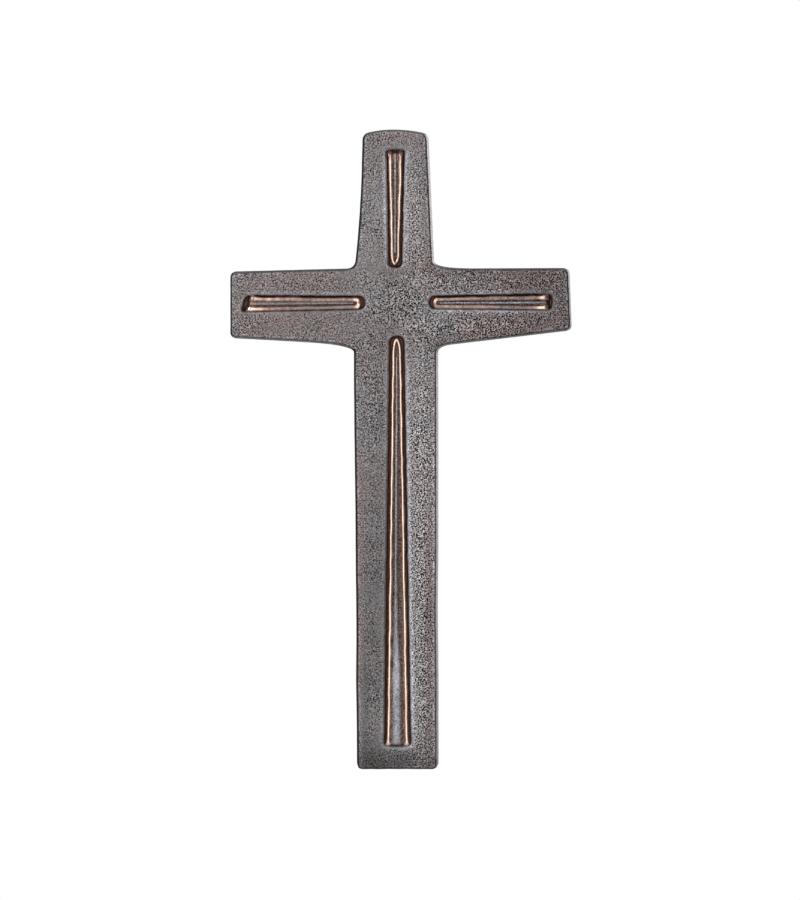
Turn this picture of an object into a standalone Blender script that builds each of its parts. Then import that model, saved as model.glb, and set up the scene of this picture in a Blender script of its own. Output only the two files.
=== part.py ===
"""Bronze memorial cross, 300 mm high: one flat sand casting that is fixed to a stone by its back.

The cross stands upright in the XZ plane. Its back lies on Y = 0 and its front faces -Y. The origin is on
the back, where the limbs cross. Its sides are drafted and its front edge is rounded. Each limb has a
tapered recess, and in it a raised bar whose two edge ribs meet in a hairpin at the inner end.

Lengths are in metres. A point of the plan is (x, z), and a level is the height above the back.
"""

import math

import bmesh
import bpy
from mathutils import Matrix, Vector

# Reach of each limb from the origin
TOP_REACH = 0.0829
FOOT_REACH = 0.2171
LEFT_REACH = 0.0779
RIGHT_REACH = 0.0823

# Half widths of the upright, to the left and right of the origin
TOP_TIP_LEFT = 0.01575
TOP_TIP_RIGHT = 0.01515
TOP_ROOT_LEFT = 0.0194
TOP_ROOT_RIGHT = 0.01795
SHAFT_ROOT_LEFT = 0.01985
SHAFT_ROOT_RIGHT = 0.0197
FOOT_LEFT = 0.0183
FOOT_RIGHT = 0.01995

# Half widths of the arms, above and below the origin
LEFT_TIP_ABOVE = 0.0165
LEFT_TIP_BELOW = 0.0148
LEFT_ROOT_ABOVE = 0.018
LEFT_ROOT_BELOW = 0.0179
RIGHT_TIP_ABOVE = 0.01815
RIGHT_TIP_BELOW = 0.0111
RIGHT_ROOT_ABOVE = 0.0179
RIGHT_ROOT_BELOW = 0.0185

# The top is crowned, and the right arm's end leans out downwards
CROWN_DROP = 0.002
CROWN_OFFSET = -0.0015
RIGHT_END_LEAN = 0.0011

# Long slight bends in the left side of the upright, above and below the arms
TOP_BEND_HEIGHT = 0.047
TOP_BEND_LEFT = 0.0166
TOP_BEND_REACH = 0.02
SHAFT_BEND_DEPTH = 0.142
SHAFT_BEND_LEFT = 0.0186
SHAFT_BEND_REACH = 0.05

# Reach of the blend at each inner corner of the plan, along the upright and along the arm
TOP_LEFT_BLEND = (0.004, 0.004)
TOP_RIGHT_BLEND = (0.0035, 0.019)
BOTTOM_RIGHT_BLEND = (0.0028, 0.007)
BOTTOM_LEFT_BLEND = (0.0036, 0.024)
BLEND_STEPS = 8

# Section of the casting, and how far the front's corners are rounded in plan
THICKNESS = 0.010
BACK_LAND = 0.001
SIDE_DRAFT = math.radians(4.0)
EDGE_RADIUS = 0.0011
EDGE_STEPS = 4
FRONT_CORNER = 0.0007

# Section of a recess, whose rim is rolled, and of the bar that stands in it
RECESS_DEPTH = 0.0023
RECESS_DRAFT = math.radians(12.0)
RIM_RADIUS = 0.0006
RIM_STEPS = 3
BAR_DEPTH = 0.0008
BAR_DRAFT = math.radians(15.0)
BAR_FOOTING = 0.0012

# Ribs along the bar's edges stand just proud of the front, and dip at their outer ends
RIB_PROUD = 0.0002
RIB_DIP = 0.0007
DIP_LENGTH = 0.0016
DIP_STEPS = 3
TURN_STEPS = 10
ROD_RESOLUTION = 2
# Where a rib sits on the bar's edge, as a share of its radius
RIB_SEAT_SHARE = 0.75

# A thin ridge runs along the middle of the bar
RIDGE_RADIUS = 0.0004
RIDGE_DEPTH = 0.0005
RIDGE_SETBACK = 0.0016

# Blind stud holes in the back, above and below the origin
STUD_DIAMETER = 0.005
STUD_DEPTH = 0.006
STUD_ABOVE = 0.045
STUD_BELOW = 0.120
STUD_SIDES = 24

# Shares of a slot's half width that its roundings take, at the inner and outer end
ROUND_SHARES = (1.0, 0.6)

# How far a cutter stands out of the metal, the shortest side of an outline, and how close two points are one
CLEAR = 0.001
SHORTEST_SIDE = 0.0002
WELD = 0.00001

# Linear colours and roughness of the grey-brown patina and of the polished ribs
PATINA_COLOUR = (0.17, 0.145, 0.14)
PATINA_ROUGHNESS = 0.5
POLISH_COLOUR = (0.82, 0.55, 0.42)
POLISH_ROUGHNESS = 0.25

# The recess and relief of each limb. Distances run from the origin out along the limb, and offsets to the
# left of that way. Pairs are the inner and outer end, and for side_margins the left and right side.
#   start, end    where the hairpin begins and the ribs end
#   turn          length over which the ribs curve into the hairpin
#   middle        offset of the relief's middle line
#   spread        from the middle line to each rib
#   rib           radius of the ribs
#   side_margins  from a rib to the wall of the recess
#   end_margins   from the relief to the end of the recess
#   end_round     length of the recess's rounding
RELIEFS = {
    "top": {
        "direction": (0, 1), "start": 0.0200, "end": 0.0714, "turn": 0.0024,
        "middle": (0.0005, 0.0004), "spread": (0.00145, 0.00215), "rib": (0.0006, 0.0007),
        "side_margins": (0.0020, 0.0019), "end_margins": (0.0014, 0.0018), "end_round": (0.0020, 0.0010),
    },
    "shaft": {
        "direction": (0, -1), "start": 0.0153, "end": 0.2046, "turn": 0.0034,
        "middle": (0.0005, 0.0010), "spread": (0.00175, 0.00425), "rib": (0.00055, 0.0008),
        "side_margins": (0.0019, 0.0021), "end_margins": (0.0015, 0.0013), "end_round": (0.0034, 0.0012),
    },
    "left": {
        "direction": (-1, 0), "start": 0.0172, "end": 0.0688, "turn": 0.0008,
        "middle": (-0.0014, -0.0010), "spread": (0.00165, 0.00240), "rib": (0.0007, 0.0008),
        "side_margins": (0.0011, 0.0020), "end_margins": (0.0030, 0.0024), "end_round": (0.0024, 0.0012),
    },
    "right": {
        "direction": (1, 0), "start": 0.0186, "end": 0.0707, "turn": 0.0008,
        "middle": (0.0015, 0.0018), "spread": (0.00165, 0.00240), "rib": (0.0006, 0.0008),
        "side_margins": (0.0020, 0.0011), "end_margins": (0.0026, 0.0022), "end_round": (0.0024, 0.0020),
    },
}


def clear_scene():
    for obj in list(bpy.data.objects):
        bpy.data.objects.remove(obj, do_unlink=True)


def new_collection(name):
    collection = bpy.data.collections.new(name)
    bpy.context.scene.collection.children.link(collection)
    return collection


def bronze(name, colour, roughness):
    """Cast bronze: a metal of the given linear colour."""
    material = bpy.data.materials.new(name)
    material.use_nodes = True
    shader = material.node_tree.nodes["Principled BSDF"]
    shader.inputs["Base Color"].default_value = (*colour, 1.0)
    shader.inputs["Metallic"].default_value = 1.0
    shader.inputs["Roughness"].default_value = roughness
    return material


def mix(pair, share):
    """The value that lies the given share of the way from the pair's first to its second."""
    return pair[0] + (pair[1] - pair[0]) * share


def blended(corners):
    """A closed outline round corners (point, reach before, reach after), each cut off by a parabola.

    Where one parabola runs on into the next, the points that nearly meet are made one.
    """
    points = []
    for index, (corner, before, after) in enumerate(corners):
        last = corners[index - 1][0]
        following = corners[(index + 1) % len(corners)][0]
        start = corner + (last - corner).normalized() * before
        end = corner + (following - corner).normalized() * after
        for step in range(BLEND_STEPS + 1):
            share = step / BLEND_STEPS
            point = start.lerp(corner, share).lerp(corner.lerp(end, share), share)
            if not points or (point - points[-1]).length > SHORTEST_SIDE:
                points.append(point)
    return points


def drafted(rise, draft):
    """The step (inset, rise) of a wall that leans in by the draft angle."""
    return (rise * math.tan(draft), rise)


def side_wall():
    """The step (inset, rise) of the casting's drafted side, from the land at the back to the front edge."""
    return drafted(THICKNESS - BACK_LAND - EDGE_RADIUS, SIDE_DRAFT)


def cross_outline():
    """The silhouette of the cross, clockwise as seen from the front, from the left end of its top."""
    # A parabola's sharpest radius is its reach over the root of two, and the front is inset from it
    tip = FRONT_CORNER + math.sqrt(2) * (EDGE_RADIUS + side_wall()[0])
    shoulder = TOP_REACH - CROWN_DROP
    halves = (TOP_TIP_LEFT + CROWN_OFFSET, TOP_TIP_RIGHT - CROWN_OFFSET)
    shares = [1 - tip / half for half in halves]
    peak = shoulder + CROWN_DROP / (1 - sum(shares) / 4)
    crown = [share * math.hypot(half, peak - shoulder) for share, half in zip(shares, halves)]
    corners = [
        (-TOP_TIP_LEFT, shoulder, tip, tip),
        (CROWN_OFFSET, peak, *crown),
        (TOP_TIP_RIGHT, shoulder, tip, tip),
        (TOP_ROOT_RIGHT, RIGHT_ROOT_ABOVE, *TOP_RIGHT_BLEND),
        (RIGHT_REACH - RIGHT_END_LEAN, RIGHT_TIP_ABOVE, tip, tip),
        (RIGHT_REACH, -RIGHT_TIP_BELOW, tip, tip),
        (SHAFT_ROOT_RIGHT, -RIGHT_ROOT_BELOW, *reversed(BOTTOM_RIGHT_BLEND)),
        (FOOT_RIGHT, -FOOT_REACH, tip, tip),
        (-FOOT_LEFT, -FOOT_REACH, tip, tip),
        (-SHAFT_BEND_LEFT, -SHAFT_BEND_DEPTH, SHAFT_BEND_REACH, SHAFT_BEND_REACH),
        (-SHAFT_ROOT_LEFT, -LEFT_ROOT_BELOW, *BOTTOM_LEFT_BLEND),
        (-LEFT_REACH, -LEFT_TIP_BELOW, tip, tip),
        (-LEFT_REACH, LEFT_TIP_ABOVE, tip, tip),
        (-TOP_ROOT_LEFT, LEFT_ROOT_ABOVE, *reversed(TOP_LEFT_BLEND)),
        (-TOP_BEND_LEFT, TOP_BEND_HEIGHT, TOP_BEND_REACH, TOP_BEND_REACH),
    ]
    return blended([(Vector((x, z)), before, after) for x, z, before, after in corners])


def on_limb(relief, along, across):
    """The plan's point that lies this far out along a limb and to the left of its relief's middle line."""
    share = (along - relief["start"]) / (relief["end"] - relief["start"])
    outwards = Vector(relief["direction"])
    leftwards = Vector((-outwards.y, outwards.x))
    return outwards * along + leftwards * (across + mix(relief["middle"], share))


def slot_outline(relief, outsets, ends, rounds):
    """A tapered slot round a limb's ribs, with a full rounding at its inner end and a lesser one outside.

    outsets are its distances outside the left and the right rib, each at the inner and outer end. ends are
    its distances past the relief's two ends, and rounds the lengths of its roundings there.
    """
    alongs = (relief["start"] - ends[0], relief["end"] + ends[1])
    corners = []
    for side, end in ((0, 0), (0, 1), (1, 1), (1, 0)):
        half_width = relief["spread"][end] + outsets[side][end]
        reaches = (half_width * ROUND_SHARES[end], rounds[end])
        point = on_limb(relief, alongs[end], half_width * (1 - 2 * side))
        corners.append((point, *(reaches if side == end else reversed(reaches))))
    return blended(corners)


def upright(name, curve):
    """An object for a curve drawn in the plan, turned so that its local Z is the level above the back."""
    obj = bpy.data.objects.new(name, curve)
    obj.rotation_euler = (math.pi / 2, 0, 0)
    bpy.context.scene.collection.objects.link(obj)
    bpy.context.view_layer.update()
    return obj


def as_mesh(obj, collection):
    """Replaces a curve object by its mesh, with the caps welded to the sides."""
    graph = bpy.context.evaluated_depsgraph_get()
    mesh = bpy.data.meshes.new_from_object(obj.evaluated_get(graph), depsgraph=graph)
    name = obj.name
    place = obj.matrix_world.copy()
    bpy.data.objects.remove(obj, do_unlink=True)
    solid = bpy.data.objects.new(name, mesh)
    solid.matrix_world = place
    collection.objects.link(solid)
    edited = bmesh.new()
    edited.from_mesh(mesh)
    bmesh.ops.remove_doubles(edited, verts=edited.verts, dist=WELD)
    bmesh.ops.recalc_face_normals(edited, faces=edited.faces)
    edited.to_mesh(mesh)
    edited.free()
    return solid


def plate(name, outline, low, high, collection):
    """A flat plate with this outline, from one level to another."""
    curve = bpy.data.curves.new(name, "CURVE")
    curve.dimensions = "2D"
    curve.fill_mode = "BOTH"
    curve.extrude = (high - low) / 2
    spline = curve.splines.new("POLY")
    spline.points.add(len(outline) - 1)
    for point, place in zip(spline.points, outline):
        point.co = (*place, 0, 1)
    spline.use_cyclic_u = True
    solid = as_mesh(upright(name, curve), collection)
    solid.data.transform(Matrix.Translation((0, 0, (low + high) / 2)))
    return solid


def carry_on(solid, facing, steps):
    """Carries a plate's upper (facing 1) or lower (facing -1) side on by steps of (inset, rise).

    The side's triangles are first made one face, whose normal doesn't depend on how thin they are.
    """
    edited = bmesh.new()
    edited.from_mesh(solid.data)
    edited.normal_update()
    triangles = [face for face in edited.faces if round(face.normal.z) == facing]
    cap = bmesh.ops.dissolve_faces(edited, faces=triangles)["region"]
    for inset, rise in steps:
        bmesh.ops.inset_region(
            edited, faces=cap, thickness=inset, depth=rise, use_boundary=True, use_even_offset=True
        )
    edited.to_mesh(solid.data)
    edited.free()


def rounding(radius, steps):
    """The steps (inset, rise) round a quarter circle, from an upright wall over to a flat top."""
    angles = [math.pi / 2 * step / steps for step in range(steps + 1)]
    places = [(radius * (1 - math.cos(angle)), radius * math.sin(angle)) for angle in angles]
    return [(after[0] - before[0], after[1] - before[1]) for before, after in zip(places, places[1:])]


def casting(collection):
    """The body of the cross: a square land at its back, drafted sides and a rounded front edge."""
    body = plate("cross", cross_outline(), 0, BACK_LAND, collection)
    carry_on(body, 1, [side_wall(), *rounding(EDGE_RADIUS, EDGE_STEPS)])
    return body


def recess(name, relief, collection):
    """What is cut out round one limb's relief: a rolled rim, drafted walls and a flat floor."""
    wall = drafted(RECESS_DEPTH - RIM_RADIUS, RECESS_DRAFT)
    mouth = RIM_RADIUS + wall[0] / 2
    outsets = [[margin + mouth] * 2 for margin in relief["side_margins"]]
    ends = [margin + mouth for margin in relief["end_margins"]]
    outline = slot_outline(relief, outsets, ends, relief["end_round"])
    cutter = plate(f"{name}_recess", outline, THICKNESS, THICKNESS + CLEAR, collection)
    carry_on(cutter, -1, [*reversed(rounding(RIM_RADIUS, RIM_STEPS)), wall])
    return cutter


def bar(name, relief, collection):
    """The raised bar that carries one limb's ribs and widens down to the recess floor."""
    floor = THICKNESS - RECESS_DEPTH
    slope = drafted(RECESS_DEPTH - BAR_DEPTH, BAR_DRAFT)
    outsets = [RIB_SEAT_SHARE * radius + slope[0] for radius in relief["rib"]]
    outline = slot_outline(relief, [outsets, outsets], outsets, (relief["turn"] + slope[0], slope[0]))
    solid = plate(f"{name}_bar", outline, floor - BAR_FOOTING, floor, collection)
    carry_on(solid, 1, [slope])
    return solid


def rod(name, stations, collection):
    """A round rod through stations of (plan point, level, radius)."""
    curve = bpy.data.curves.new(name, "CURVE")
    curve.dimensions = "3D"
    curve.bevel_depth = 1.0
    curve.bevel_resolution = ROD_RESOLUTION
    curve.use_fill_caps = True
    spline = curve.splines.new("POLY")
    spline.points.add(len(stations) - 1)
    for point, (place, level, radius) in zip(spline.points, stations):
        point.co = (*place, level, 1)
        point.radius = radius
    return as_mesh(upright(name, curve), collection)


def rib_station(relief, along, side, dip=0):
    """A rod station on the left rib (side 1), the right rib (side -1) or in between, at this distance."""
    share = (along - relief["start"]) / (relief["end"] - relief["start"])
    radius = mix(relief["rib"], share)
    place = on_limb(relief, along, side * mix(relief["spread"], share))
    return place, THICKNESS + RIB_PROUD - radius - dip, radius


def ribs(name, relief, collection):
    """Both ribs of one limb as one bent rod: dipping ends, straight legs and an elliptic turn."""
    leg = []
    for step in range(DIP_STEPS + 1):
        angle = math.pi / 2 * step / DIP_STEPS
        leg.append((relief["end"] - DIP_LENGTH * step / DIP_STEPS, RIB_DIP * (1 - math.sin(angle))))
    leg.append((relief["start"] + relief["turn"], 0))
    stations = [rib_station(relief, along, 1, dip) for along, dip in leg]
    for step in range(1, TURN_STEPS):
        angle = math.pi * step / TURN_STEPS
        along = relief["start"] + relief["turn"] * (1 - math.sin(angle))
        stations.append(rib_station(relief, along, math.cos(angle)))
    stations.extend(rib_station(relief, along, -1, dip) for along, dip in reversed(leg))
    return rod(f"{name}_ribs", stations, collection)


def ridge(name, relief, collection):
    """The thin ridge along the middle of one limb's bar."""
    level = THICKNESS - RIDGE_DEPTH - RIDGE_RADIUS
    ends = (relief["start"] + relief["turn"] + RIDGE_SETBACK, relief["end"] - RIDGE_SETBACK)
    stations = [(on_limb(relief, along, 0), level, RIDGE_RADIUS) for along in ends]
    return rod(f"{name}_ridge", stations, collection)


def stud_hole(name, height, collection):
    """A blind round hole in the back, at this height."""
    bpy.ops.mesh.primitive_cylinder_add(
        vertices=STUD_SIDES,
        radius=STUD_DIAMETER / 2,
        depth=STUD_DEPTH + CLEAR,
        location=(0, (CLEAR - STUD_DEPTH) / 2, height),
        rotation=(math.pi / 2, 0, 0),
    )
    cutter = bpy.context.object
    cutter.name = name
    for home in list(cutter.users_collection):
        home.objects.unlink(cutter)
    collection.objects.link(cutter)


def boolean(body, operation, operands, solver):
    """A Boolean of the body with each object of a collection in turn. The objects become hidden guides."""
    for obj in operands.objects:
        modifier = body.modifiers.new(f"{operation.lower()} {obj.name}", "BOOLEAN")
        modifier.operation = operation
        modifier.object = obj
        modifier.solver = solver
        modifier.material_mode = "TRANSFER"
        obj.hide_render = True
        obj.display_type = "WIRE"


def main():
    clear_scene()
    parts = new_collection("bronze cross")
    cutters = new_collection("recesses and stud holes")
    raised = new_collection("raised relief")
    patina = bronze("patinated bronze", PATINA_COLOUR, PATINA_ROUGHNESS)
    polish = bronze("polished bronze", POLISH_COLOUR, POLISH_ROUGHNESS)
    body = casting(parts)
    body.data.materials.append(patina)
    for name, relief in RELIEFS.items():
        recess(name, relief, cutters).data.materials.append(patina)
        bar(name, relief, raised).data.materials.append(patina)
        ridge(name, relief, raised).data.materials.append(patina)
        ribs(name, relief, raised).data.materials.append(polish)
    stud_hole("upper_stud_hole", STUD_ABOVE, cutters)
    stud_hole("lower_stud_hole", -STUD_BELOW, cutters)
    boolean(body, "DIFFERENCE", cutters, "EXACT")
    # The exact solver loses the body when the shaft's bar is joined to it
    boolean(body, "UNION", raised, "MANIFOLD")


main()
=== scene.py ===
"""Looks of a bronze memorial cross, 300 mm high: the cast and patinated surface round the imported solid.

The cross stands upright in the XZ plane with its back on Y = 0 and its front facing -Y. One piece stands for
the cast solid: a sheet of quads follows the four limbs and their reliefs, rings carry it round the rounded
edge and down the drafted sides, and a flat back with two stud holes closes it. Lengths are in metres. A
point of the plan is (x, z), and a level is the height above the back.
"""

import itertools
import math

import bpy
import numpy as np
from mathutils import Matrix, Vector
from mathutils.geometry import tessellate_polygon


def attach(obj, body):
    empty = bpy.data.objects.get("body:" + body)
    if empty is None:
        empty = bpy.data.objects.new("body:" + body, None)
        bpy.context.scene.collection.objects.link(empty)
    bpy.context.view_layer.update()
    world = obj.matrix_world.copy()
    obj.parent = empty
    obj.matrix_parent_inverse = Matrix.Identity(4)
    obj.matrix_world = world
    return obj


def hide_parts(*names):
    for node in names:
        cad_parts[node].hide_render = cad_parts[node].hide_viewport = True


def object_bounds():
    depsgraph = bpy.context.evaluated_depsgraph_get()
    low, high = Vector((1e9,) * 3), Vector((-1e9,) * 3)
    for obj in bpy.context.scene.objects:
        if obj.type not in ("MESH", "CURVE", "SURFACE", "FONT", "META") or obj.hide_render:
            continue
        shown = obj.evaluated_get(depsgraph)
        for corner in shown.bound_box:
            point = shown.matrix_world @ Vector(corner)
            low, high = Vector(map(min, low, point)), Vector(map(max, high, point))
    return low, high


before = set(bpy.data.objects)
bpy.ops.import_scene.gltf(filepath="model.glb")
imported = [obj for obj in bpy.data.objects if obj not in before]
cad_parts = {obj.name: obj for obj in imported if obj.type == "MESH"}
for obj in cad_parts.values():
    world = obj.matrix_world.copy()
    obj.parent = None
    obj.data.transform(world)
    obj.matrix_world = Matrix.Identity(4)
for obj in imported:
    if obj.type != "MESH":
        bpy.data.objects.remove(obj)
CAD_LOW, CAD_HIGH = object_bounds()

bl_info = {
    "name": "Bronze memorial cross",
    "version": (1, 0, 0),
    "blender": (4, 5, 0),
    "location": "3D View > Sidebar > Bronze cross",
    "description": "Builds a cast bronze cross with ribbed reliefs, and a plain stage for it",
    "category": "Object",
}

# Reach of each limb from the origin
TOP_REACH = 0.0829
FOOT_REACH = 0.2171
LEFT_REACH = 0.0779
RIGHT_REACH = 0.0823

# The top is crowned, and its highest point lies a little to the left
CROWN_DROP = 0.002
CROWN_OFFSET = -0.0015

# Corners of the plan, clockwise from the front: x, z and the reach of the blend before and after. TIP marks
# a corner at a limb's end, whose blend follows from the section.
TIP = None
SHOULDER = TOP_REACH - CROWN_DROP
TOP_LEFT_TIP = (-0.01575, SHOULDER, TIP, TIP)
TOP_RIGHT_TIP = (0.01515, SHOULDER, TIP, TIP)
OTHER_CORNERS = [
    (0.01795, 0.0179, 0.0035, 0.019),
    (RIGHT_REACH - 0.0011, 0.01815, TIP, TIP),
    (RIGHT_REACH, -0.0111, TIP, TIP),
    (0.0197, -0.0185, 0.007, 0.0028),
    (0.01995, -FOOT_REACH, TIP, TIP),
    (-0.0183, -FOOT_REACH, TIP, TIP),
    (-0.0186, -0.142, 0.05, 0.05),
    (-0.01985, -0.0179, 0.0036, 0.024),
    (-LEFT_REACH, -0.0148, TIP, TIP),
    (-LEFT_REACH, 0.0165, TIP, TIP),
    (-0.0194, 0.018, 0.004, 0.004),
    (-0.0166, 0.047, 0.02, 0.02),
]
CORNERS = 12
# Points on each corner's blend, and the distance between points along the finished outline
BLEND_STEPS = 48
OUTLINE_STEP = 0.00015

# Slow swells of the cast edge: place on the edge, how far out it swells, and how far it runs
SWELLS = [
    ((-0.0185, -0.176), 0.00040, 0.012),
    ((0.0197, -0.140), -0.0003, 0.014),
    ((-0.0193, -0.055), 0.00022, 0.024),
    ((-0.0184, -0.125), 0.00018, 0.024),
    ((-0.0183, -0.208), 0.00020, 0.012),
]

# Section of the casting
BACK_LAND = 0.001
SIDE_DRAFT = math.radians(4.0)
FRONT_CORNER = 0.0007
BACK_CORNER = 0.0002

# Blind stud holes in the back: radius, depth, chamfer, heights on the cross and sides of their circle
STUD_RADIUS = 0.0025
STUD_DEPTH = 0.006
STUD_CHAMFER = 0.0003
STUD_HEIGHTS = (0.045, -0.120)
STUD_SIDES = 40

# The recess and relief of each limb. Distances run from the origin out along the limb, and offsets to the
# left of that way. Pairs are the inner and outer end, and for side_margins the left and right side.
#   start, end    where the hairpin begins and the ribs end
#   turn          length over which the ribs curve into the hairpin
#   middle        offset of the relief's middle line
#   spread        from the middle line to each rib
#   rib           radius of the ribs
#   side_margins  from a rib to the wall of the recess
#   end_margins   from the relief to the end of the recess
#   end_round     length of the recess's rounding
#   arch          how blunt the hairpin's turn is: 0.5 is half an ellipse, and more is pointed
#   slant         how far the outer end leans out towards the left side
#   ridge         middle ridge, as (share of the length, offset, half width)
#   shine         polish of the left and right rib, as (share of the length, left, right)
#   rim           painted highlight along the recess's rim at the left and the right, as (share of the length, left, right)
#   lip           painted highlight along the rim past the outer end
#   rub, tan      how rubbed the middle ridge is, and how bare the bar is where it slopes down at its end
#   gap, flat     how brown the bar is beside its ridge, and the power that makes the ribs' section flat
RELIEFS = {
    "top": {
        "direction": (0, 1), "start": 0.0200, "end": 0.0710, "turn": 0.0040, "arch": 0.62, "slant": 0.0,
        "middle": (0.0002, 0.0000), "spread": (0.00135, 0.00245), "rib": (0.00068, 0.00090),
        "side_margins": (0.0015, 0.0016), "end_margins": (0.0014, 0.0021), "end_round": (0.0020, 0.0010),
        "ridge": ((0.0, 0.0, 0.00042), (1.0, 0.0, 0.00050)),
        "shine": (
            (0.0, 0.55, 0.45), (0.07, 0.85, 0.75), (0.90, 0.95, 0.80), (0.96, 0.75, 0.7), (1.0, 0.3, 0.3),
        ),
        "rim": ((0.0, 0.35, 0.35), (0.3, 0.85, 0.40), (0.8, 0.85, 0.45), (1.0, 0.40, 0.40)), "lip": 0.1,
        "rub": 0.9, "tan": 0.2, "gap": 0.75, "flat": 2.6,
    },
    "shaft": {
        "direction": (0, -1), "start": 0.0153, "end": 0.2046, "turn": 0.0065, "arch": 0.62, "slant": 0.0,
        "middle": (0.0006, 0.0010), "spread": (0.00145, 0.00430), "rib": (0.00064, 0.00092),
        "side_margins": (0.0018, 0.0018), "end_margins": (0.0015, 0.0008), "end_round": (0.0034, 0.0012),
        "ridge": (
            (0.0, 0.0, 0.0004), (0.20, -0.0001, 0.00055), (0.58, -0.0006, 0.00065), (0.70, -0.0006, 0.00095),
            (0.80, -0.00045, 0.0018), (1.0, -0.0004, 0.0022),
        ),
        "shine": ((0.0, 0.65, 0.75), (0.02, 0.95, 0.95), (0.97, 0.9, 0.9), (1.0, 0.6, 0.6)),
        "rim": ((0.0, 0.45, 0.25), (0.2, 0.65, 0.3), (0.5, 0.75, 0.05), (0.75, 0.8, 0.1), (1.0, 0.85, 0.40)),
        "lip": 0.95, "rub": 0.6, "tan": 0.0, "gap": 0.75, "flat": 2.6,
    },
    "left": {
        "direction": (-1, 0), "start": 0.0172, "end": 0.0676, "turn": 0.0008, "arch": 0.5, "slant": 0.32,
        "middle": (-0.0016, -0.0012), "spread": (0.00163, 0.00236), "rib": (0.00100, 0.00106),
        "side_margins": (0.0008, 0.0015), "end_margins": (0.0027, 0.0034), "end_round": (0.0024, 0.0012),
        "ridge": ((0.0, -0.0001, 0.00055), (1.0, -0.0002, 0.00095)),
        "shine": (
            (0.0, 0.66, 0.72), (0.05, 0.22, 0.24), (0.30, 0.1, 0.22), (0.55, 0.08, 0.22), (0.70, 0.14, 0.26),
            (0.93, 0.36, 0.42), (0.965, 0.60, 0.60), (1.0, 0.5, 0.5),
        ),
        "rim": ((0.0, 0.15, 0.35), (0.5, 0.05, 0.35), (1.0, 0.20, 0.45)), "lip": 0.2,
        "rub": 0.15, "tan": 0.2, "gap": 0.45, "flat": 4.0,
    },
    "right": {
        "direction": (1, 0), "start": 0.0186, "end": 0.0700, "turn": 0.0008, "arch": 0.5, "slant": 0.0,
        "middle": (0.0018, 0.0020), "spread": (0.00160, 0.00235), "rib": (0.00095, 0.00105),
        "side_margins": (0.0015, 0.0008), "end_margins": (0.0026, 0.0029), "end_round": (0.0024, 0.0020),
        "ridge": ((0.0, 0.0, 0.00050), (1.0, 0.0, 0.00075)),
        "shine": (
            (0.0, 0.28, 0.24), (0.30, 0.18, 0.20), (0.60, 0.14, 0.12), (0.80, 0.1, 0.1), (0.92, 0.16, 0.20),
            (0.965, 0.75, 0.75), (1.0, 0.6, 0.6),
        ),
        "rim": ((0.0, 0.30, 0.60), (0.5, 0.35, 0.65), (1.0, 0.20, 0.50)), "lip": 0.1,
        "rub": 0.6, "tan": 0.1, "gap": 0.5, "flat": 4.0,
    },
}
# Shares of a slot's half width that its roundings take, at the inner and outer end
ROUND_SHARES = (1.0, 0.6)

# Spots where the front differs: place, run along x and along z, how much darker, browner and coarser in its
# grain.
# The darkening, a lightening where negative, is partly the patina's own tone and partly painted shade and
# light, as in the darker bands along the arms' top edges.
TONE_AND_SHADE_SPOTS = [
    ((0.000, -0.217), (0.030, 0.012), 0.62, 0.15, 0.0),
    ((0.072, 0.002), (0.026, 0.030), 0.24, 0.45, 0.45),
    ((0.032, 0.010), (0.018, 0.010), -0.12, 0.0, 0.75),
    ((0.034, -0.010), (0.022, 0.008), -0.24, 0.15, 0.85),
    ((0.050, -0.017), (0.045, 0.0055), 0.42, 0.45, 0.0),
    ((-0.047, 0.0172), (0.036, 0.0022), 0.16, 0.10, -0.20),
    ((-0.045, -0.008), (0.030, 0.0060), 0.06, 0.0, 0.0),
    ((0.045, 0.0172), (0.040, 0.0024), 0.25, 0.50, 0.0),
    ((0.0158, -0.150), (0.0026, 0.055), 0.34, 0.45, 0.10),
    ((0.0186, -0.120), (0.0014, 0.085), -0.32, 0.30, -0.20),
    ((0.000, -0.135), (0.030, 0.060), 0.06, 0.0, 0.0),
    ((-0.0172, -0.150), (0.0020, 0.075), -0.10, 0.80, -0.2),
    ((-0.0140, -0.180), (0.0016, 0.030), 0.20, -0.3, -0.2),
    ((-0.0110, -0.155), (0.0060, 0.075), 0.20, 0.0, -0.1),
    ((0.0120, -0.065), (0.0070, 0.060), -0.52, 0.0, 0.60),
    ((0.0120, -0.160), (0.0060, 0.060), -0.48, 0.0, 0.75),
    ((-0.050, 0.000), (0.030, 0.030), -0.05, 0.35, 0.0),
    ((0.000, 0.082), (0.030, 0.008), 0.0, 0.45, 0.0),
    ((0.0085, 0.045), (0.0060, 0.028), -0.42, 0.0, 0.15),
    ((-0.0080, 0.045), (0.0045, 0.026), -0.17, 0.0, 0.0),
    ((0.0150, 0.050), (0.0030, 0.030), 0.05, 0.30, 0.0),
    ((0.0060, 0.000), (0.0180, 0.012), -0.05, 0.0, 0.45),
    ((-0.010, -0.050), (0.008, 0.030), 0.02, 0.0, 0.25),
]

# Small casting flaws: place, radius and depth
FLAWS = [
    ((-0.0447, 0.0089), 0.00045, 0.00040), ((-0.0377, 0.0056), 0.00070, 0.00045),
    ((-0.0054, 0.0594), 0.00045, 0.00035), ((-0.0054, 0.0453), 0.00045, 0.00035),
    ((-0.0052, 0.0325), 0.00050, 0.00030), ((0.0105, 0.0190), 0.00040, 0.00030),
    ((0.0086, 0.0078), 0.00040, 0.00030), ((-0.0166, 0.0022), 0.00060, 0.00040),
    ((0.0270, -0.0145), 0.00040, 0.00030), ((-0.0125, -0.0960), 0.00040, 0.00030),
    ((0.0132, -0.1430), 0.00040, 0.00030), ((-0.0108, -0.1905), 0.00035, 0.00030),
]

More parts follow.
